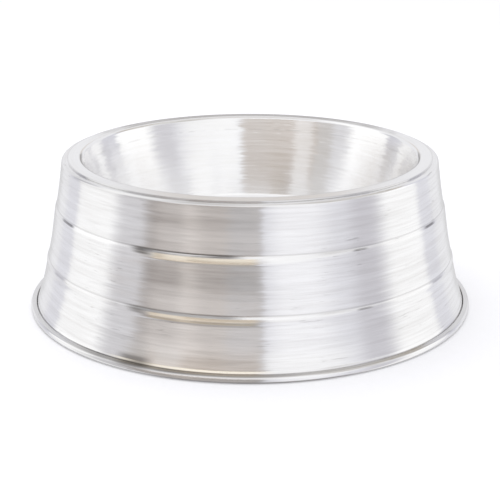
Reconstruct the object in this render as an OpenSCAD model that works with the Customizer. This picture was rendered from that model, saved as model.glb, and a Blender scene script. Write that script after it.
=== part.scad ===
// Pet food bowl spun from aluminium sheet: a flared skirt that stands on a rolled foot,
// and a food pan whose flange lies on the skirt's inturned ledge.
// Millimetres, +Z up, origin at the centre of the foot, on the floor.

/* [Overall] */
// Height from the floor to the top of the rim
bowl_h = 75; // [68:1:100]
// Diameter across the rolled foot
foot_d = 220; // [212:1:240]

/* [Sheet] */
// Thickness of the skirt's sheet
skirt_t = 1; // [0.7:0.1:1.2]
// Thickness of the pan's sheet
pan_t = 0.8; // [0.7:0.1:1.4]

/* [Food pan] */
// Diameter of the mouth, between the pan's inner walls at the rim
mouth_d = 164; // [150:1:170]
// Depth of the pan inside, from the rim to the floor
pan_depth = 46; // [30:1:60]
// Lean of the pan's wall from upright, in degrees
pan_draft = 15; // [2:0.5:18]
// Inside radius between the pan's wall and its floor
floor_r = 7; // [3:0.5:15]
// Outside radius of the lip that rolls from the wall into the flange
lip_r = 1.8; // [1.6:0.1:3]
// Width of the rim, from the wall to the flange's outer edge
flange_w = 7; // [5:0.5:10]
// Gap between the flange's edge and the skirt's shoulder, along the ledge
seam_gap = 0.2; // [0.1:0.1:1]
// Clearance between the skirt's ledge and the bend under the pan's lip
ledge_gap = 0.3; // [0.1:0.1:1]

/* [Skirt] */
// Width of the skirt's flat ring outside the flange, up to the shoulder
rim_flat = 1.3; // [0.3:0.1:2.5]
// Outside radius of the shoulder under the rim
shoulder_r = 1.4; // [1.3:0.1:4]
// Height of the upper band, from the rim to the crown of the upper bead
upper_band_h = 24.2; // [18:0.1:30]
// Height of the middle band, between the crowns of the two beads
middle_band_h = 25.5; // [18:0.1:28]
// Lean of the upper band from upright, in degrees
upper_lean = 9; // [4:0.5:11]
// Lean of the middle band from upright, in degrees
middle_lean = 11.5; // [6:0.5:14]
// How far the hollows of the upper and middle bands lie inside a straight line
band_hollow = 0.2; // [0.1:0.1:0.4]
// Radius of those hollows
band_r = 150; // [100:10:200]
// Height of the ledge over each bead, from its crease to its crown
bead_rise = 1.5; // [1.3:0.1:3]
// How far each bead's crown stands out of the skirt
bead_proud = 0.55; // [0.4:0.05:1]
// Height in which the upper bead runs out below its crown, into the hollow of the middle band
upper_run = 15; // [8:0.5:18]
// Height in which the lower bead runs out below its crown
lower_run = 2.2; // [1.5:0.1:8]
// Outside radius of the crease over each bead
crease_r = 2.5; // [1:0.1:3]
// Outside radius of each bead's crown
crown_r = 4.5; // [2:0.1:5]
// Radius of the curve at the end of the lower bead's run
run_r = 12; // [4:1:30]

/* [Foot] */
// Height at which the lower band begins to flare
flare_h = 12; // [8:0.5:16]
// Lean of the flare from upright, in degrees
flare_lean = 19.5; // [14:0.5:26]
// Radius of the curve into the flare
flare_r = 80; // [40:5:100]
// Height of the rolled foot
foot_h = 3.3; // [3:0.1:4.5]
// Width of the flat ring that the foot stands on
sole_w = 0.5; // [0.3:0.1:1.5]
// Height of the upright stretch in the roll's outer face
roll_face_h = 0.3; // [0.1:0.1:0.5]
// Gap between the roll's free edge and the flare
roll_gap = 0.15; // [0.1:0.05:0.5]

/* [Hidden] */
$fn = 180;
// Largest turn between two points of a bend, in degrees
arc_step = 7.5;
// Largest share of a straight stretch that the bend at one end of it may take
bend_share = 0.49;

// Food pan: heights and radii of the sheet's middle line
pan_floor_z = bowl_h - pan_depth - pan_t / 2;
flange_z = bowl_h - pan_t / 2;
flange_edge = mouth_d / 2 + flange_w;
lip_bend = lip_r - pan_t / 2;
lip_turn = 90 - pan_draft;
function pan_wall(z) = mouth_d / 2 + pan_t / 2 / cos(pan_draft) - (bowl_h - z) * tan(pan_draft);

// Skirt: the ledge takes the flange, and the shoulder starts where the flange ends
ledge_z = bowl_h - pan_t - skirt_t / 2;
ledge_bore = pan_wall(flange_z) + lip_bend * tan(lip_turn / 2) + ledge_gap;
shoulder_bend = shoulder_r - skirt_t / 2;
shoulder_x = flange_edge + seam_gap + rim_flat + shoulder_bend * tan((90 - upper_lean) / 2);
upper_bead_z = bowl_h - upper_band_h;
lower_bead_z = upper_bead_z - middle_band_h;
function upper_band(z) = shoulder_x + (ledge_z - z) * tan(upper_lean);
function middle_band(z) = upper_band(upper_bead_z) + (upper_bead_z - z) * tan(middle_lean);
crease_bend = crease_r + skirt_t / 2;
crown_bend = crown_r - skirt_t / 2;
upper_hollow_z = (ledge_z + upper_bead_z) / 2;
upper_crease_z = upper_bead_z + bead_rise;
middle_hollow_z = upper_bead_z - upper_run;
lower_crease_z = lower_bead_z + bead_rise;
lower_end_z = lower_bead_z - lower_run;

// Foot: the flare meets the floor, rolls outward and up, and ends against the flare
sole_z = skirt_t / 2;
roll_top_z = foot_h - skirt_t / 2;
roll_bend = (foot_h - skirt_t - roll_face_h) / 2;
foot_face = foot_d / 2 - skirt_t / 2;
foot_heel = foot_face - sole_w - roll_bend * (1 + tan((90 - flare_lean) / 2));
flare_side = skirt_t / 2 / cos(flare_lean);
function flare(z) = foot_heel - (z - sole_z) * tan(flare_lean);
roll_end = flare(foot_h - skirt_t) + flare_side + roll_gap;

// Lower band: from the lower bead to the flare
lower_lean = atan2(flare(flare_h) - middle_band(lower_bead_z), lower_bead_z - flare_h);
function lower_band(z) = middle_band(lower_bead_z) + (lower_bead_z - z) * tan(lower_lean);

function unit(v) = v / norm(v);
function turned(v, a) = [v.x * cos(a) - v.y * sin(a), v.x * sin(a) + v.y * cos(a)];

// Points and normals along the arc that rounds corner b of the line a, b, c, of radius r where there is room
function bend(a, b, c, r) =
    let (u = unit(b - a),
         w = unit(c - b),
         turn = atan2(cross(u, w), u * w),
         side = sign(turn),
         normal = turned(u, 90),
         room = bend_share * min(norm(b - a), norm(c - b)),
         fit_r = min(r, room / tan(abs(turn) / 2)),
         centre = b - fit_r * tan(abs(turn) / 2) * u + side * fit_r * normal,
         steps = max(2, ceil(abs(turn) / arc_step)))
    [for (i = [0:steps]) let (n = turned(normal, turn * i / steps)) [centre - side * fit_r * n, n]];

// Middle line of a bent sheet, from corners given as [point, radius]
function middle_line(corners) =
    let (last = len(corners) - 1,
         p = [for (c = corners) c[0]])
    concat([[p[0], turned(unit(p[1] - p[0]), 90)]],
           [for (i = [1:last - 1]) each bend(p[i - 1], p[i], p[i + 1], corners[i][1])],
           [[p[last], turned(unit(p[last] - p[last - 1]), 90)]]);

// A sheet of thickness t, bent along the corners and turned about the Z axis
module spun_sheet(corners, t) {
    line = middle_line(corners);
    upper_side = [for (p = line) p[0] + p[1] * t / 2];
    lower_side = [for (p = line) p[0] - p[1] * t / 2];
    rotate_extrude() polygon(concat(upper_side, [for (i = [len(line) - 1:-1:0]) lower_side[i]]));
}

module outer_skirt() {
    color([0.80, 0.80, 0.82])
    spun_sheet([
        [[ledge_bore, ledge_z]],
        [[shoulder_x, ledge_z], shoulder_bend],
        [[upper_band(upper_hollow_z) - band_hollow, upper_hollow_z], band_r],
        [[upper_band(upper_crease_z), upper_crease_z], crease_bend],
        [[upper_band(upper_bead_z) + bead_proud, upper_bead_z], crown_bend],
        [[middle_band(middle_hollow_z) - band_hollow, middle_hollow_z], band_r],
        [[middle_band(lower_crease_z), lower_crease_z], crease_bend],
        [[middle_band(lower_bead_z) + bead_proud, lower_bead_z], crown_bend],
        [[lower_band(lower_end_z), lower_end_z], run_r],
        [[flare(flare_h), flare_h], flare_r],
        [[foot_heel, sole_z], roll_bend],
        [[foot_face, sole_z], roll_bend],
        [[foot_face, roll_top_z], roll_bend],
        [[roll_end, roll_top_z]]], skirt_t);
}

module food_pan() {
    color([0.86, 0.86, 0.87])
    spun_sheet([
        [[0, pan_floor_z]],
        [[pan_wall(pan_floor_z), pan_floor_z], floor_r + pan_t / 2],
        [[pan_wall(flange_z), flange_z], lip_bend],
        [[flange_edge, flange_z]]], pan_t);
}

outer_skirt();
food_pan();
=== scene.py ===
# %% [markdown]
# A pet food bowl, spun from bare aluminium sheet: a flared skirt that stands on a rolled foot, and a
# deep food pan whose flange lies in the skirt's rim. This lesson builds its looks in Blender around the
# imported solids. First comes the frame: the solids at their real size and place, in metres. Everything
# below is made in that same frame, so no piece has to be moved or fitted afterwards.

# %% Load the frame
import math

import bpy
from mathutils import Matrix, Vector


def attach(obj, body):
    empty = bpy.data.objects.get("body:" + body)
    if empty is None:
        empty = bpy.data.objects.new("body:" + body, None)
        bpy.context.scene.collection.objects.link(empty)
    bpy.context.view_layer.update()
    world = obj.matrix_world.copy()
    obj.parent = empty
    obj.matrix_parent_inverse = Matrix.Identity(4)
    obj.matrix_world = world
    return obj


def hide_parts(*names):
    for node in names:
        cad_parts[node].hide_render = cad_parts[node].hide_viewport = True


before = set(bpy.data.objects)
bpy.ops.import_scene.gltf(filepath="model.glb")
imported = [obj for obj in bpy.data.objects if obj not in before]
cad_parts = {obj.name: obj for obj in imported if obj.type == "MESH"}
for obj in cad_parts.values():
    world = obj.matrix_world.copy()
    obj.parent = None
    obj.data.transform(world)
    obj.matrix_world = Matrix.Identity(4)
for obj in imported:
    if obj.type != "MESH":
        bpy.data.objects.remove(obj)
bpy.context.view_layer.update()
MM = 0.001

# %% [markdown]
# The camera stands a little over half a metre in front of the bowl and looks down at it by about
# eighteen degrees, so that the rims of the mouth and the foot show as the ellipses of the photograph.
# A camera can be placed by hand, by a constraint or by sums. Sums are used here: an aim point on the
# bowl's axis, a distance and a pitch give the place, and a quaternion turns the lens to the aim point.

# %% Camera
CAMERA_AIM_Z = 23.8 * MM
CAMERA_DISTANCE = 605 * MM
CAMERA_PITCH = math.radians(18.34)
IMAGE_SIDE = 500
FOCAL_PIXELS = 1197.4
SENSOR_MM = 36

camera_data = bpy.data.cameras.new("photo_camera")
camera_data.sensor_width = SENSOR_MM
camera_data.lens = SENSOR_MM * FOCAL_PIXELS / IMAGE_SIDE
camera_data.clip_start = 10 * MM
camera = bpy.data.objects.new("photo_camera", camera_data)
bpy.context.collection.objects.link(camera)
towards_camera = Vector((0, -math.cos(CAMERA_PITCH), math.sin(CAMERA_PITCH)))
camera.location = Vector((0, 0, CAMERA_AIM_Z)) + CAMERA_DISTANCE * towards_camera
camera.rotation_mode = "QUATERNION"
camera.rotation_quaternion = (-towards_camera).to_track_quat("-Z", "Y")
bpy.context.scene.camera = camera
bpy.context.scene.view_settings.view_transform = "Standard"
print("camera at", [round(x, 3) for x in camera.location], "lens", round(camera_data.lens, 1))

# %% [markdown]
# Both pieces are sheet metal spun on a lathe, so each is one bent line of constant thickness turned
# about the bowl's axis. A curve with a Screw modifier could do it, but a reflection shows every flaw of
# the normals. So the line is worked out point by point: corners with a bend radius become true arcs,
# each point keeps the direction square to the sheet, and that direction becomes the mesh's normal.

# %% Bent sheet section
ARC_STEP = math.radians(3)
EDGE_STEPS = 6
BEND_SHARE = 0.49


def side_of(direction):
    """The direction a quarter turn to the left."""
    return Vector((-direction.y, direction.x))


def turned(vector, angle):
    return Vector((vector.x * math.cos(angle) - vector.y * math.sin(angle),
                   vector.x * math.sin(angle) + vector.y * math.cos(angle)))


def bend(before, corner, after, radius):
    """Points and normals along the arc that rounds one corner, as wide as the straights beside it allow."""
    along = (corner - before).normalized()
    onward = (after - corner).normalized()
    turn = math.atan2(along.cross(onward), along.dot(onward))
    side = math.copysign(1, turn)
    normal = side_of(along)
    room = BEND_SHARE * min((corner - before).length, (after - corner).length)
    radius = min(radius, room / math.tan(abs(turn) / 2))
    centre = corner - along * radius * math.tan(abs(turn) / 2) + normal * side * radius
    steps = max(3, math.ceil(abs(turn) / ARC_STEP))
    normals = [turned(normal, turn * i / steps) for i in range(steps + 1)]
    return [(centre - n * side * radius, n) for n in normals]


def middle_line(corners):
    """The sheet's middle line, from corners given as (radius from the axis, height, bend radius)."""
    points = [Vector(c[:2]) for c in corners]
    first = side_of((points[1] - points[0]).normalized())
    last = side_of((points[-1] - points[-2]).normalized())
    line = [(points[0], first)]
    for before, corner, after, row in zip(points, points[1:], points[2:], corners[1:]):
        line += bend(before, corner, after, row[2])
    return line + [(points[-1], last)]


def cut_edge(point, normal, thickness, edge_radius, side):
    """The rounded cut edge of a sheet, from the face on one side (1 or -1) to the other face."""
    outward = turned(normal, -math.pi / 2 * side)
    rim = []
    for sign in (side, -side):
        centre = point + normal * sign * (thickness / 2 - edge_radius) - outward * edge_radius
        for i in range(EDGE_STEPS + 1):
            swing = math.pi / 2 * (i / EDGE_STEPS if sign == side else 1 - i / EDGE_STEPS)
            n = normal * sign * math.cos(swing) + outward * math.sin(swing)
            rim.append((centre + n * edge_radius, n))
    return rim


print("bent sheet helpers ready")

# %% [markdown]
# Turning the section gives the mesh: one ring of vertices for each point of the section, or a single
# vertex where it meets the axis, and faces between neighbouring rings. The section's own normals, turned
# with it, are handed to the mesh, so that flat stretches reflect as flat and bends as round.

# %% Lathe
SEGMENTS = 240
ON_AXIS = 1e-9


def spun(name, section, closed):
    """A mesh turned about the Z axis from a section of (point, normal)."""
    vertices, normals, rings, faces = [], [], [], []
    for point, normal in section:
        count = 1 if point.x < ON_AXIS else SEGMENTS
        rings.append(range(len(vertices), len(vertices) + count))
        for i in range(count):
            a = 2 * math.pi * i / SEGMENTS
            vertices.append((point.x * math.cos(a), point.x * math.sin(a), point.y))
            normals.append((normal.x * math.cos(a), normal.x * math.sin(a), normal.y))
    pairs = list(zip(rings, rings[1:])) + ([(rings[-1], rings[0])] if closed else [])
    for low, high in pairs:
        for i in range(SEGMENTS):
            j = (i + 1) % SEGMENTS
            corners = [low[i % len(low)], high[i % len(high)], high[j % len(high)], low[j % len(low)]]
            faces.append(list(dict.fromkeys(corners)))
    mesh = bpy.data.meshes.new(name)
    mesh.from_pydata(vertices, [], faces)
    mesh.polygons.foreach_set("use_smooth", [True] * len(faces))
    mesh.normals_split_custom_set_from_vertices(normals)
    piece = bpy.data.objects.new(name, mesh)
    bpy.context.collection.objects.link(piece)
    print(name, "has", len(vertices), "vertices and", len(faces), "faces")
    return piece


# %% [markdown]
# The sizes are the bowl's own, in millimetres from the floor and from the axis. A few of them drive the
# rest, as on the solids: the height, the foot, the mouth, the depth of the pan, the heights of the two
# beads and the lean of each band.

# %% Sizes of the bowl
BOWL_H = 75 * MM
FOOT_R = 110 * MM
SHEET = 1 * MM
PAN_SHEET = 0.8 * MM
EDGE_R = 0.18 * MM
MOUTH_R = 82 * MM
PAN_DEPTH = 46 * MM
PAN_DRAFT = math.radians(15)
FLOOR_BEND = 7 * MM + PAN_SHEET / 2
LIP_BEND = 1.8 * MM - PAN_SHEET / 2
FLANGE_W = 7 * MM
SEAM_GAP = 0.2 * MM
LEDGE_GAP = 0.3 * MM
RIM_FLAT = 1.3 * MM
SHOULDER_BEND = 1.4 * MM - SHEET / 2
UPPER_BEAD_Z = BOWL_H - 24.2 * MM
LOWER_BEAD_Z = UPPER_BEAD_Z - 25.5 * MM
UPPER_SLOPE = math.tan(math.radians(9))
MIDDLE_SLOPE = math.tan(math.radians(11.5))
BEAD_RISE = 1.5 * MM
BEAD_PROUD = 0.55 * MM
UPPER_RUN = 15 * MM
LOWER_RUN = 2.2 * MM
CREASE_BEND = 2.5 * MM + SHEET / 2
CROWN_BEND = 4.5 * MM - SHEET / 2
RUN_BEND = 12 * MM
BAND_HOLLOW = 0.2 * MM
BAND_BEND = 150 * MM
FLARE_H = 12 * MM
FLARE_LEAN = math.radians(19.5)
FLARE_BEND = 80 * MM
FOOT_H = 3.3 * MM
SOLE_W = 0.5 * MM
ROLL_FACE_H = 0.3 * MM
ROLL_GAP = 0.15 * MM
FLANGE_EDGE = MOUTH_R + FLANGE_W
print("foot across", 2 * FOOT_R / MM, "mm, mouth across", 2 * MOUTH_R / MM, "mm")

# %% [markdown]
# The food pan is drawn from a disc: a flat floor, a wide bend up into the wall, a wall that leans out,
# and a tight lip that turns over into the flange. Its section runs from the axis out along the upper
# face, round the flange's cut edge and back along the lower face.

# %% Food pan
def pan_wall(z):
    """Radius of the wall's middle line at a height."""
    return MOUTH_R + PAN_SHEET / 2 / math.cos(PAN_DRAFT) - (BOWL_H - z) * math.tan(PAN_DRAFT)


pan_floor_z = BOWL_H - PAN_DEPTH - PAN_SHEET / 2
flange_z = BOWL_H - PAN_SHEET / 2
pan_line = middle_line([
    (0, pan_floor_z),
    (pan_wall(pan_floor_z), pan_floor_z, FLOOR_BEND),
    (pan_wall(flange_z), flange_z, LIP_BEND),
    (FLANGE_EDGE, flange_z),
])
pan_upper = [(p + n * PAN_SHEET / 2, n) for p, n in pan_line[:-1]]
pan_lower = [(p - n * PAN_SHEET / 2, -n) for p, n in reversed(pan_line[:-1])]
pan_edge = cut_edge(*pan_line[-1], PAN_SHEET, EDGE_R, 1)
food_pan = spun("food_pan_spun", pan_upper + pan_edge + pan_lower, False)
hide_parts("food_pan")
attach(food_pan, "root")

# %% [markdown]
# The skirt is spun over a form: an inturned ledge that carries the pan's flange, a rounded shoulder,
# three bands parted by two raised beads, a flare and, at the foot, a hollow roll that turns outward and
# up until its edge meets the flare. Each bead rises from a soft crease over a short ledge. The upper one
# runs out slowly below, the lower one soon. The section is a closed loop, with a cut edge at each end.

# %% Outer skirt
ledge_z = BOWL_H - PAN_SHEET - SHEET / 2
ledge_bore = pan_wall(flange_z) + LIP_BEND * math.tan((math.pi / 2 - PAN_DRAFT) / 2) + LEDGE_GAP
shoulder_turn = math.pi / 2 - math.atan(UPPER_SLOPE)
shoulder_x = FLANGE_EDGE + SEAM_GAP + RIM_FLAT + SHOULDER_BEND * math.tan(shoulder_turn / 2)


def upper_band(z):
    return shoulder_x + (ledge_z - z) * UPPER_SLOPE


def middle_band(z):
    return upper_band(UPPER_BEAD_Z) + (UPPER_BEAD_Z - z) * MIDDLE_SLOPE


roll_bend = (FOOT_H - SHEET - ROLL_FACE_H) / 2
foot_face = FOOT_R - SHEET / 2
foot_heel = foot_face - SOLE_W - roll_bend * (1 + math.tan((math.pi / 2 - FLARE_LEAN) / 2))


def flare(z):
    return foot_heel - (z - SHEET / 2) * math.tan(FLARE_LEAN)


lower_slope = (flare(FLARE_H) - middle_band(LOWER_BEAD_Z)) / (LOWER_BEAD_Z - FLARE_H)


def lower_band(z):
    return middle_band(LOWER_BEAD_Z) + (LOWER_BEAD_Z - z) * lower_slope


def bead(z, band):
    """Corners of a raised bead at a height, on the band above it."""
    return [(band(z + BEAD_RISE), z + BEAD_RISE, CREASE_BEND), (band(z) + BEAD_PROUD, z, CROWN_BEND)]


upper_hollow_z = (ledge_z + UPPER_BEAD_Z) / 2
middle_hollow_z = UPPER_BEAD_Z - UPPER_RUN
lower_end_z = LOWER_BEAD_Z - LOWER_RUN
roll_end = flare(FOOT_H - SHEET) + SHEET / 2 / math.cos(FLARE_LEAN) + ROLL_GAP
skirt_line = middle_line([
    (ledge_bore, ledge_z),
    (shoulder_x, ledge_z, SHOULDER_BEND),
    (upper_band(upper_hollow_z) - BAND_HOLLOW, upper_hollow_z, BAND_BEND),
    *bead(UPPER_BEAD_Z, upper_band),
    (middle_band(middle_hollow_z) - BAND_HOLLOW, middle_hollow_z, BAND_BEND),
    *bead(LOWER_BEAD_Z, middle_band),
    (lower_band(lower_end_z), lower_end_z, RUN_BEND),
    (flare(FLARE_H), FLARE_H, FLARE_BEND),
    (foot_heel, SHEET / 2, roll_bend),
    (foot_face, SHEET / 2, roll_bend),
    (foot_face, FOOT_H - SHEET / 2, roll_bend),
    (roll_end, FOOT_H - SHEET / 2),
])
skirt_outer = [(p + n * SHEET / 2, n) for p, n in skirt_line[1:-1]]
skirt_inner = [(p - n * SHEET / 2, -n) for p, n in reversed(skirt_line[1:-1])]
roll_edge = cut_edge(*skirt_line[-1], SHEET, EDGE_R, 1)
ledge_edge = cut_edge(*skirt_line[0], SHEET, EDGE_R, -1)
outer_skirt = spun("outer_skirt_spun", skirt_outer + roll_edge + skirt_inner + ledge_edge, True)
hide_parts("outer_skirt")
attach(outer_skirt, "root")

# %% [markdown]
# Shader maths reads best as plain sums. The class below wraps one socket of a node tree: adding or
# multiplying two of them adds a Math node, and `node` makes any other node from its type, its settings
# and what goes into its sockets. Each finish further down is then a few lines that say what they mean.

# %% Shader helper
class Wire:
    """A node tree and one of its output sockets, with arithmetic on values."""

    def __init__(self, tree, socket=None):
        self.tree = tree
        self.socket = socket

    def node(self, kind, settings=None, sockets=None, out=0):
        """A new node of any type, with its settings made first and its sockets filled or linked."""
        made = self.tree.nodes.new(kind)
        for key, value in (settings or {}).items():
            setattr(made, key, value)
        for key, value in (sockets or {}).items():
            if isinstance(value, Wire):
                self.tree.links.new(value.socket, made.inputs[key])
            else:
                made.inputs[key].default_value = value
        return Wire(self.tree, made.outputs[out] if made.outputs else None)

    def math(self, operation, *values):
        return self.node("ShaderNodeMath", {"operation": operation}, dict(enumerate(values)))

    def vector(self, operation, *values, out=0):
        return self.node("ShaderNodeVectorMath", {"operation": operation}, dict(enumerate(values)), out)

    def parts(self):
        """The three values of a vector."""
        return [self.node("ShaderNodeSeparateXYZ", {}, {0: self}, axis) for axis in range(3)]

    def mixed(self, factor, first, second):
        return self.node("ShaderNodeMix", {"data_type": "RGBA"}, {0: factor, 6: first, 7: second}, 2)

    def between(self, low, high):
        """0 below low, 1 above high, and a smooth step from one to the other."""
        sockets = {"Value": self, "From Min": low, "From Max": high}
        return self.node("ShaderNodeMapRange", {"interpolation_type": "SMOOTHSTEP"}, sockets)

    def past(self, edge, soft):
        """0 before an edge and 1 past it, with a smooth step as wide as soft."""
        return self.between(edge - soft / 2, edge + soft / 2)

    def __add__(self, other):
        return self.math("ADD", self, other)

    def __sub__(self, other):
        return self.math("SUBTRACT", self, other)

    def __rsub__(self, other):
        return self.math("SUBTRACT", other, self)

    def __mul__(self, other):
        return self.math("MULTIPLY", self, other)

    __radd__ = __add__
    __rmul__ = __mul__


def new_material(name):
    """An empty material and a wire into its node tree."""
    material = bpy.data.materials.new(name)
    material.use_nodes = True
    material.node_tree.nodes.clear()
    return material, Wire(material.node_tree)


print("shader helper ready")

# %% [markdown]
# The finish is bare aluminium, turned on the lathe with an abrasive cloth. The fine lines run round the
# axis and blur a reflection across them, so panels show as upright bands with crisp sides: that is an
# anisotropic gloss, turned a quarter so that it spreads across the lines. Streaks that are long round
# the bowl and thin across it vary the colour, the gloss and the relief, and sway the normal sideways a
# little from line to line, which gives each band its combed edge. A small class keeps the material
# together with the place of a point on the bowl, because every mark below is drawn by that place.

# %% Turned aluminium
ANISOTROPY = 0.97
QUARTER_TURN = 0.25
CLOUD_DETAIL = 3.0
LINE_DEPTH = 2e-6
# a dark colour for scuffs, darker brushed lines and the tool ring, and for painted shade and dark
# reflections in creases and the seam
GRIME_AND_SHADE = (0.09, 0.08, 0.075, 1)


class TurnedMetal:
    """A turned finish, with the direction from the axis, the distance from it and the height of a point."""

    def __init__(self, name):
        self.material, self.m = new_material(name)
        self.place = self.m.node("ShaderNodeTexCoord", out="Object")
        flat = self.m.vector("MULTIPLY", self.place, (1, 1, 0))
        self.around = self.m.vector("NORMALIZE", flat)
        self.radius = self.m.vector("LENGTH", flat, out="Value")
        x, y, self.height = self.place.parts()
        self.angle = self.m.math("ARCTAN2", x, 0 - y) * math.degrees(1)
        self.colour = None

    def lines(self, per_turn, per_metre, detail=2.0):
        """Noise that is long round the axis and fine across the sheet, with no seam."""
        across = self.m.node("ShaderNodeCombineXYZ", {}, {2: self.radius * per_metre})
        round_axis = self.m.vector("MULTIPLY", self.around, (per_turn, per_turn, 0))
        spot = self.m.vector("ADD", round_axis, across)
        sockets = {"Vector": spot, "W": self.height * per_metre, "Scale": 1.0, "Detail": detail}
        return self.m.node("ShaderNodeTexNoise", {"noise_dimensions": "4D"}, sockets)

    def clouds(self, per_metre):
        """Noise that is the same in every direction."""
        sockets = {"Vector": self.place, "Scale": per_metre, "Detail": CLOUD_DETAIL}
        return self.m.node("ShaderNodeTexNoise", {}, sockets)

    def ring(self, height, half_width, soft):
        """1 on a ring at a height, fading to 0 at its edges."""
        return 1 - self.m.math("ABSOLUTE", self.height - height).past(half_width, soft)

    def sector(self, start, end, soft):
        """1 between two angles from the camera's side, plus is to the right."""
        return self.angle.past(start, soft) * (1 - self.angle.past(end, soft))

    def tint(self, mask, share, colour):
        """Lays a share of another colour over the metal's own, where a mask says so."""
        self.colour = self.m.mixed(mask * share, self.colour, colour)

    def finish(self, gloss, relief, sway):
        """The metal itself, from its gloss, the height of its lines and their sideways sway."""
        smooth = self.m.node("ShaderNodeNewGeometry", out="Normal")
        sideways = self.m.vector("CROSS_PRODUCT", (0, 0, 1), self.around)
        swayed = self.m.vector("ADD", smooth, self.m.vector("MULTIPLY", sideways, sway))
        normal = self.m.vector("NORMALIZE", swayed)
        heights = {"Distance": LINE_DEPTH, "Height": relief, "Normal": normal}
        bumped = self.m.node("ShaderNodeBump", {}, heights)
        surface = self.m.node("ShaderNodeBsdfPrincipled", {}, {
            "Base Color": self.colour, "Metallic": 1.0, "Roughness": gloss, "Normal": bumped,
            "Anisotropic": ANISOTROPY, "Anisotropic Rotation": QUARTER_TURN})
        self.m.node("ShaderNodeOutputMaterial", {}, {"Surface": surface})
        return self.material


print("turned metal ready")

# %% [markdown]
# The skirt has been handled most. Fine and broad streaks and a soft haze, summed, choose between a dull
# and a bright metal. Faint brownish stains lie on the front of the middle band, darker brushed lines on
# the whole left front, and short scuffs all over. Painting such marks by hand would need a picture. A
# mask by height and by angle, times noise, puts them in place without one.

# %% Skirt streaks and stains
SKIRT_BRIGHT = (0.935, 0.935, 0.94, 1)
SKIRT_DULL = (0.78, 0.772, 0.77, 1)
SKIRT_STAIN = (0.62, 0.57, 0.53, 1)
STAIN_Z = 41 * MM
STAIN_HALF = 15 * MM
STAIN_SOFT = 10 * MM

skirt = TurnedMetal("skirt_aluminium")
fine = skirt.lines(3.0, 800, 4.0)
broad = skirt.lines(1.5, 380)
haze = skirt.clouds(24)
worn = (fine - 0.5) * 1.1 + (broad - 0.5) * 0.5 + (haze - 0.5) * 0.5 + 0.55
skirt.colour = skirt.m.mixed(worn.between(0.1, 0.9), SKIRT_DULL, SKIRT_BRIGHT)

stained = (skirt.clouds(38) * 0.6 + broad * 0.4).between(0.46, 0.66)
stained = stained * skirt.sector(-42, 2, 14) * skirt.ring(STAIN_Z, STAIN_HALF, STAIN_SOFT)
skirt.tint(stained, 0.35, SKIRT_STAIN)
brushed = skirt.lines(5.0, 560, 1.0).between(0.50, 0.72) * skirt.sector(-50, 6, 20)
skirt.tint(brushed, 0.08, GRIME_AND_SHADE)
scuffs = skirt.lines(11, 1500).between(0.62, 0.72) * skirt.clouds(60).between(0.5, 0.62)
skirt.tint(scuffs, 0.30, GRIME_AND_SHADE)
print("streaks, stains, brushed lines and scuffs laid on the skirt")

# %% [markdown]
# On the left front each bead's crown carries a thin line of warm light, and so does the lip of the flare
# just over the foot. On the real bowl these edges are crisper than the bend of the sheet. Sharper bends
# in the mesh would do it, but they would part from the solids. So a bump of a fraction of a millimetre
# lets the edges catch the light, and a pale gold tint paints a warm highlight on them. A faint brown tint
# low on the flare's front is a painted warm reflection.

# %% Skirt beads and lip
# colour of the painted warm highlight on the bead crowns and the flare's lip
GLINT_GOLD = (0.97, 0.90, 0.76, 1)
# colour of the painted warm reflection low on the flare's front
FLARE_WARM_REFLECTION = (0.80, 0.68, 0.52, 1)
BEADS = (UPPER_BEAD_Z, LOWER_BEAD_Z)
CROWN_DROP = 0.7 * MM
CROWN_HALF = 1.3 * MM
CROWN_SOFT = 0.6 * MM
BULGE_TOP = 0.3 * MM
BULGE_PEAK = -1.8 * MM
BULGE_END = -2.7 * MM
LIP_Z = 3.9 * MM
LIP_HALF = 0.6 * MM
LIP_SOFT = 0.3 * MM
LIP_FALL = (3.4 * MM, 4.5 * MM)
LIP_SHARE = 0.6
FLARE_REFLECTION_Z = 4.5 * MM
FLARE_REFLECTION_HALF = 2.2 * MM
FLARE_REFLECTION_SOFT = 3.6 * MM

bulges = 0.0
for bead_z in BEADS:
    # painted highlight: a pale gold line along each bead's crown at the left front
    crown = skirt.ring(bead_z - CROWN_DROP, CROWN_HALF, CROWN_SOFT) * skirt.sector(-26, 1.5, 3)
    skirt.tint(crown, 0.8, GLINT_GOLD)
    upper_side = 1 - skirt.height.between(bead_z + BULGE_PEAK, bead_z + BULGE_TOP)
    lower_side = skirt.height.between(bead_z + BULGE_END, bead_z + BULGE_PEAK)
    bulges = bulges + upper_side * lower_side
lip = (1 - skirt.height.between(*LIP_FALL)) * LIP_SHARE
edge_relief = bulges * skirt.sector(-31, 14, 14) + lip

# painted highlight: a gold glint along the lip of the flare
glint = skirt.ring(LIP_Z, LIP_HALF, LIP_SOFT) * skirt.sector(-34, 3, 8)
skirt.tint(glint, 0.7, GLINT_GOLD)
# painted reflection: a faint warm brown low on the flare's front
painted_flare_reflection = skirt.ring(FLARE_REFLECTION_Z, FLARE_REFLECTION_HALF, FLARE_REFLECTION_SOFT) * skirt.sector(-32, 2, 8)
skirt.tint(painted_flare_reflection, 0.10, FLARE_WARM_REFLECTION)
print("gold crowns on", len(BEADS), "beads and a glint on the lip")

# %% [markdown]
# Painted shade darkens the skirt where light is dim: the reflected contact shadow under the roll of the
# foot, the groove over it, the roll and the crease over each bead. Painted dark reflections lie on each
# bead's ledge and far ends, under the shoulder and in a blob on the flare, darkest at the left front.
# Each mark is a ring at a height, cut to a sector and broken up by the fine streaks. The rows below give,
# in millimetres, the height over the floor, the rim or the bead and half the width, then the sector and
# the strength.

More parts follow.
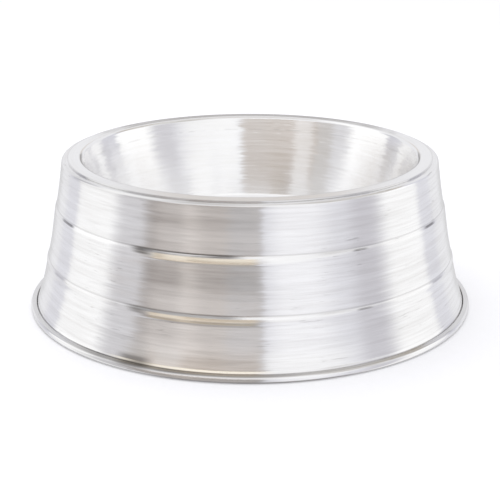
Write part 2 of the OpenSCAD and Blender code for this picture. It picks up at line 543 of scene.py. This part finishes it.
# %% Skirt painted shade
ALL_ROUND = (-181, 181, 1)
FAR_ENDS = ((-66, -58, 3), (57, 63, 3))
FRONT_STRENGTH = {UPPER_BEAD_Z: 0.85, LOWER_BEAD_Z: 0.55}
END_STRENGTH = {UPPER_BEAD_Z: 0.80, LOWER_BEAD_Z: 0.25}

broken = fine.between(0.2, 0.5)
painted_shade_count = 0


def paint_shade(base, rows):
    """Painted shade and dark reflections at heights over a base, and how many there are."""
    for height, half_width, sector, strength in rows:
        half = half_width * MM
        mark = skirt.ring(base + height * MM, half, half) * skirt.sector(*sector)
        skirt.tint(mark * broken, strength, GRIME_AND_SHADE)
    return len(rows)


# painted shade: the reflected contact shadow under the roll, the groove over it and the roll itself, and a
# painted dark reflection in a blob on the flare
painted_shade_count += paint_shade(0, [
    (0.3, 0.40, ALL_ROUND, 0.60),
    (3.2, 0.20, ALL_ROUND, 0.18),
    (3.2, 0.22, (-45, 8, 16), 0.35),
    (3.1, 0.35, (-45, -14, 16), 0.40),
    (1.5, 1.20, (-45, 5, 12), 0.12),
    (4.4, 1.90, (-32.5, -24.5, 5), 0.60),
])
# painted dark reflection under the shoulder
painted_shade_count += paint_shade(BOWL_H, [(-1.5, 0.80, (-62, -3, 14), 0.15)])
# painted shade in each bead's crease, and painted dark reflections on its ledge and at its far ends
for bead_z in BEADS:
    painted_shade_count += paint_shade(bead_z, [
        (1.8, 0.35, ALL_ROUND, 0.20),
        (1.3, 0.70, (-32, -3, 6), FRONT_STRENGTH[bead_z]),
        (0.1, 0.90, (-31.5, -27, 4), FRONT_STRENGTH[bead_z] * 0.8),
        (0.7, 0.40, (28, 32, 2), 0.50),
    ])
    painted_shade_count += paint_shade(bead_z, [(0.9, 0.45, far_end, END_STRENGTH[bead_z]) for far_end in FAR_ENDS])
# the marks counted are painted shade and dark reflections
print("grime marks on the skirt:", painted_shade_count)

# %% [markdown]
# Last come the gloss, which the same streaks vary a little, and the relief: the turned lines, a few
# thousandths of a millimetre deep, and the crisp edges from above, which are far higher. One Bump node
# takes both, so the edges are scaled to the depth of a line.

# %% Skirt gloss and relief
SKIRT_ROUGHNESS = 0.16
BEAD_HEIGHT = 0.29 * MM

gloss = SKIRT_ROUGHNESS + (fine - 0.5) * 0.06 + (broad - 0.5) * 0.05 + (haze - 0.5) * 0.04
relief = fine + broad * 2.0 + edge_relief * (BEAD_HEIGHT / LINE_DEPTH)
sway = (skirt.lines(5.0, 1100) - 0.5) * 0.08
outer_skirt.data.materials.append(skirt.finish(gloss, relief, sway))
print("skirt finish has", len(skirt.material.node_tree.nodes), "nodes")

# %% [markdown]
# The pan is rinsed daily, so it is cleaner and a little brighter. It keeps fine turned lines, thin light
# scratches that run round its wall, and one faint ring that the drawing tool left a few millimetres under
# the lip. Its flange was pressed flat and reflects more sharply than the wall, and the flange's edge, in
# the seam of the rim, is a little darker: painted shade.

# %% Pan finish
PAN_BRIGHT = (0.95, 0.95, 0.955, 1)
PAN_DULL = (0.895, 0.89, 0.885, 1)
PAN_SCRATCH = (0.99, 0.99, 0.99, 1)
PAN_ROUGHNESS = 0.16
FLANGE_POLISH = 0.07
TOOL_RING_Z = BOWL_H - 6.8 * MM
TOOL_RING_HALF = 0.35 * MM
TOOL_RING_SOFT = 0.3 * MM
FLANGE_START = (MOUTH_R + 1 * MM, MOUTH_R + 2 * MM)
SEAM_START = (FLANGE_EDGE - 0.8 * MM, FLANGE_EDGE - 0.2 * MM)

pan = TurnedMetal("pan_aluminium")
fine = pan.lines(3.0, 850, 4.0)
broad = pan.lines(1.5, 380)
haze = pan.clouds(24)
worn = (fine - 0.5) * 0.8 + (broad - 0.5) * 0.6 + (haze - 0.5) * 0.6 + 0.55
pan.colour = pan.m.mixed(worn.between(0.1, 0.9), PAN_DULL, PAN_BRIGHT)
scratches = pan.lines(9, 1800).between(0.60, 0.72)
pan.tint(scratches, 0.5, PAN_SCRATCH)
tool_ring = pan.ring(TOOL_RING_Z, TOOL_RING_HALF, TOOL_RING_SOFT) * pan.lines(14, 300).between(0.4, 0.6)
pan.tint(tool_ring, 0.10, GRIME_AND_SHADE)
# painted shade along the flange's edge, in the seam of the rim
pan.tint(pan.radius.between(*SEAM_START), 0.18, GRIME_AND_SHADE)

polish = pan.radius.between(*FLANGE_START) * FLANGE_POLISH
gloss = PAN_ROUGHNESS - polish + (fine - 0.5) * 0.08 + (haze - 0.5) * 0.04 + scratches * 0.06
sway = (pan.lines(7.0, 1000) - 0.5) * 0.11
food_pan.data.materials.append(pan.finish(gloss, fine + broad * 3.0, sway))
print("pan finish has", len(pan.material.node_tree.nodes), "nodes")

# %% [markdown]
# A shiny bowl shows the studio more than it shows itself. The light is an even pale world and one large
# soft lamp overhead, which gives the bowl its soft shadow on a pale floor. The floor and the sky add a
# little glow of their own, for the camera and for reflections alike, so that both are white to the
# frame's edge. Light that falls into a polished pan is thrown from wall to wall, so more glossy bounces
# are allowed.

# %% Floor, world and lamp
FLOOR_RADIUS = 12.0
FLOOR_SIDES = 96
FLOOR_COLOUR = (0.86, 0.86, 0.87, 1)
FLOOR_GLOW = 0.20
WORLD_COLOUR = (0.93, 0.93, 0.96, 1)
WORLD_STRENGTH = 0.92
SKY_GLOW = 0.16
LAMP_SIDE = 1.6
LAMP_PLACE = Vector((-0.3, 0.2, 1.5))
LAMP_WATTS = 7.0
GLOSSY_BOUNCES = 10


def seen_rays(tree):
    """1 for what the camera sees, straight or in a reflection, and 0 for the light on the floor."""
    kinds = ("Is Camera Ray", "Is Glossy Ray", "Is Transmission Ray")
    straight, mirrored, through = (tree.node("ShaderNodeLightPath", out=kind) for kind in kinds)
    return straight + mirrored + through


bpy.ops.mesh.primitive_circle_add(vertices=FLOOR_SIDES, radius=FLOOR_RADIUS, fill_type="NGON")
floor = bpy.context.object
floor.name = "pale_floor"
floor_material, f = new_material("pale_floor")
matte = f.node("ShaderNodeBsdfDiffuse", {}, {"Color": FLOOR_COLOUR})
glow = f.node("ShaderNodeEmission", {}, {"Color": FLOOR_COLOUR, "Strength": FLOOR_GLOW * seen_rays(f)})
both = f.node("ShaderNodeAddShader", {}, {0: matte, 1: glow})
f.node("ShaderNodeOutputMaterial", {}, {"Surface": both})
floor.data.materials.append(floor_material)
floor.visible_glossy = False

world = bpy.data.worlds.new("pale_studio")
bpy.context.scene.world = world
world.use_nodes = True
world.node_tree.nodes.clear()
w = Wire(world.node_tree)
sky_strength = WORLD_STRENGTH + SKY_GLOW * seen_rays(w)
sky = w.node("ShaderNodeBackground", {}, {"Color": WORLD_COLOUR, "Strength": sky_strength})
w.node("ShaderNodeOutputWorld", {}, {"Surface": sky})

lamp_data = bpy.data.lights.new("overhead_softbox", "AREA")
lamp_data.size = LAMP_SIDE
lamp_data.energy = LAMP_WATTS
lamp = bpy.data.objects.new("overhead_softbox", lamp_data)
bpy.context.collection.objects.link(lamp)
lamp.location = LAMP_PLACE
lamp.rotation_euler = (-LAMP_PLACE).to_track_quat("-Z", "Y").to_euler()
lamp.visible_glossy = False
bpy.context.scene.cycles.glossy_bounces = GLOSSY_BOUNCES
print("floor", 2 * FLOOR_RADIUS, "m across, lamp of", LAMP_WATTS, "watts")

# %% [markdown]
# The soft upright bands on the metal are reflections of what stands round it: white panels at the
# sides, pale cloth behind, and a dimmer, warmer side where the camera stands. They could be a ring of
# separate cards. One far, round dome is simpler: each panel is a patch of light or shade on its cloth,
# given by its colour, its two edges as an angle from the camera's side (plus is to the right) and, where
# it doesn't reach from top to bottom, its height as an angle too, each edge with a softness in degrees.
# A later panel lies over an earlier one.

# %% Dome
DOME_RADIUS = 3.0
DOME_STEPS = 48
PALE = (0.88, 0.88, 0.90, 1)
LOWEST = (-100, 1)
HIGHEST = (100, 1)
ROUND_LEFT = (-200, 1)
ROUND_RIGHT = (200, 1)


class StudioDome:
    """The dome's cloth, coloured by the angle from the camera's side and the angle over the floor."""

    def __init__(self, name, colour):
        self.material, self.t = new_material(name)
        x, y, z = self.t.node("ShaderNodeTexCoord", out="Object").parts()
        self.angle = self.t.math("ARCTAN2", x, 0 - y) * math.degrees(1)
        self.height = self.t.math("ARCSINE", z * (1 / DOME_RADIUS)) * math.degrees(1)
        self.cloth = self.t.node("ShaderNodeRGB")
        self.cloth.socket.default_value = colour
        self.panels = 0

    def panel(self, colour, start, end, low=LOWEST, high=HIGHEST, both_sides=False):
        """One more panel over the cloth so far, or a pair of them, left and right."""
        angle = self.t.math("ABSOLUTE", self.angle) if both_sides else self.angle
        across = angle.past(*start) * (1 - angle.past(*end))
        inside = across * self.height.past(*low) * (1 - self.height.past(*high))
        self.cloth = self.t.mixed(inside, self.cloth, colour)
        self.panels += 1


arc = [math.pi * (i / DOME_STEPS - 0.5) for i in range(DOME_STEPS + 1)]
half_circle = [Vector((math.cos(a), math.sin(a))) for a in arc]
half_circle[0].x = half_circle[-1].x = 0
dome = spun("dome", [(DOME_RADIUS * p, -p) for p in half_circle], False)
studio = StudioDome("dome", PALE)

# %% [markdown]
# Behind the bowl hang grey cloths. The flat land of the rim mirrors them at a low angle: darker on its
# far side, warmer and lighter on its near side. Lavender strips stand at both back corners, and white
# panels at both sides give the bright upright bands at the left and right of the skirt and the pan.

# %% Panels behind and beside the bowl
WHITE = (1.04, 1.04, 1.04, 1)
BRIGHT = (1.16, 1.16, 1.16, 1)
FAR_SIDE = (0.70, 0.70, 0.71, 1)
BACK_GREY = (0.36, 0.35, 0.35, 1)
NEAR_BACK = (0.72, 0.68, 0.65, 1)
LAVENDER = (0.80, 0.80, 0.845, 1)
DEEP_LAVENDER = (0.70, 0.70, 0.76, 1)
SHADE = (0.56, 0.56, 0.595, 1)
BACK_TAN = (0.52, 0.47, 0.40, 1)
HEM = (0.80, 0.80, 0.81, 1)

studio.panel(FAR_SIDE, (150, 14), ROUND_RIGHT, high=(4, 6), both_sides=True)
studio.panel(BACK_GREY, (172, 4), ROUND_RIGHT, high=(14, 3), both_sides=True)
studio.panel(NEAR_BACK, (174, 6), ROUND_RIGHT, low=(15.2, 1), high=(24, 4), both_sides=True)
studio.panel(LAVENDER, (-133, 8), (-116, 6))
studio.panel(LAVENDER, (112, 6), (129, 8))
studio.panel(DEEP_LAVENDER, (114, 6), (131, 8), low=(2, 4), both_sides=True)
studio.panel(SHADE, (-133, 8), (-116, 6), low=(16, 6), high=(32, 6))
studio.panel(BRIGHT, (-146, 8), (-112, 6), low=(37, 4))
studio.panel(BACK_TAN, (100, 10), (146, 10), low=(38, 4))
studio.panel(WHITE, (-116, 6), (-80, 14))
studio.panel(WHITE, (80, 16), (112, 6))
studio.panel(BRIGHT, (-118, 6), (-79, 14), low=(4, 4))
studio.panel(BRIGHT, (80, 16), (112, 6), low=(4, 4))
studio.panel(HEM, (80, 6), (112, 6), low=(31, 4))
print("panels behind and beside the bowl:", studio.panels)

# %% [markdown]
# The front is in two halves. On the right stands pale, soft light with a grey edge. On the left the
# metal mirrors a warm room: dark and low for the upper bands, which look down at the table's edge, tan
# over it for the lower band, brown still higher for the flare and the pan, with lighter and darker
# stripes between. Each panel's edges follow from where its band begins and ends on the metal.

# %% Panels in front of the bowl
WARM_GREY = (0.71, 0.70, 0.72, 1)
GREY = (0.65, 0.64, 0.68, 1)
SOFT_LIGHT = (0.98, 0.98, 1.01, 1)
LOW_TAN = (0.275, 0.242, 0.226, 1)
LOW_EDGE = (0.345, 0.308, 0.292, 1)
LOW_COOL = (0.25, 0.245, 0.25, 1)
TABLE = (0.50, 0.47, 0.45, 1)
TAN = (0.90, 0.855, 0.83, 1)
COOL_TAN = (0.85, 0.83, 0.84, 1)
STRIPE = (0.56, 0.515, 0.485, 1)
LIGHT_STRIPE = (1.04, 0.985, 0.955, 1)
BROWN = (0.34, 0.255, 0.18, 1)
DULL_GREY = (0.56, 0.53, 0.505, 1)
LIGHT_TAN = (0.76, 0.715, 0.68, 1)
HALVES = (5.2, 9)
ROOM_LEFT = (-57, 14)
ROOM_RIGHT = (4.4, 9)
COOL_LEFT = (-12, 8)

studio.panel(WARM_GREY, (-80, 14), HALVES, high=(34, 6))
studio.panel(GREY, HALVES, (77, 14))
studio.panel(LAVENDER, HALVES, (58, 14))
studio.panel(SOFT_LIGHT, (13, 14), (42, 20))
studio.panel(WHITE, (7, 9), (53, 20), low=(10, 5))
studio.panel(LOW_TAN, ROOM_LEFT, ROOM_RIGHT)
studio.panel(LOW_EDGE, ROOM_LEFT, (-41, 8))
studio.panel(LOW_COOL, COOL_LEFT, ROOM_RIGHT)
studio.panel(TABLE, ROOM_LEFT, ROOM_RIGHT, high=(-10, 6))
studio.panel(TAN, ROOM_LEFT, ROOM_RIGHT, low=(1.4, 3))
studio.panel(COOL_TAN, COOL_LEFT, ROOM_RIGHT, low=(1.3, 3))
studio.panel(STRIPE, (-38, 10), (-29, 10), high=(-0.5, 2))
studio.panel(LIGHT_STRIPE, (-40, 10), (-25, 10), low=(3.5, 3))
studio.panel(BROWN, (-61, 8), (5, 6), low=(12.5, 5))
studio.panel(DULL_GREY, (-66, 8), (-53, 6), low=(8, 4))
studio.panel(LIGHT_TAN, (-50, 8), (-35, 8), low=(8, 4))
print("panels so far:", studio.panels)

# %% [markdown]
# Over the camera hangs a pale cloth with a brighter light in it, which the ledges of the beads and the
# lower wall of the pan pick up. The roof is a little dimmer, for the thin line along the shoulder, and
# the ground under the table dimmer still. The dome is done then. Only reflections see it: it is hidden
# from the camera, casts no shadow and lights no floor.

# %% Light over the camera, roof and ground
FRONT_TOP = (0.92, 0.92, 0.94, 1)
FRONT_LIGHT = (1.20, 1.20, 1.20, 1)
RIGHT_TAN = (0.62, 0.60, 0.575, 1)
ROOF = (0.76, 0.74, 0.725, 1)
GROUND = (0.42, 0.41, 0.41, 1)

studio.panel(FRONT_TOP, (-82, 10), (80, 10), low=(22, 4))
studio.panel(FRONT_LIGHT, (-44, 26), (36, 26), low=(25, 4), high=(36, 6))
studio.panel(RIGHT_TAN, (45, 12), (80, 10), low=(33, 4))
studio.panel(ROOF, ROUND_LEFT, ROUND_RIGHT, low=(64, 12))
studio.panel(GROUND, ROUND_LEFT, ROUND_RIGHT, high=(-60, 16))
glow = studio.t.node("ShaderNodeEmission", {}, {"Color": studio.cloth, "Strength": 1.0})
studio.t.node("ShaderNodeOutputMaterial", {}, {"Surface": glow})
dome.data.materials.append(studio.material)
dome.visible_camera = False
dome.visible_diffuse = False
dome.visible_shadow = False
print("dome with", studio.panels, "panels")
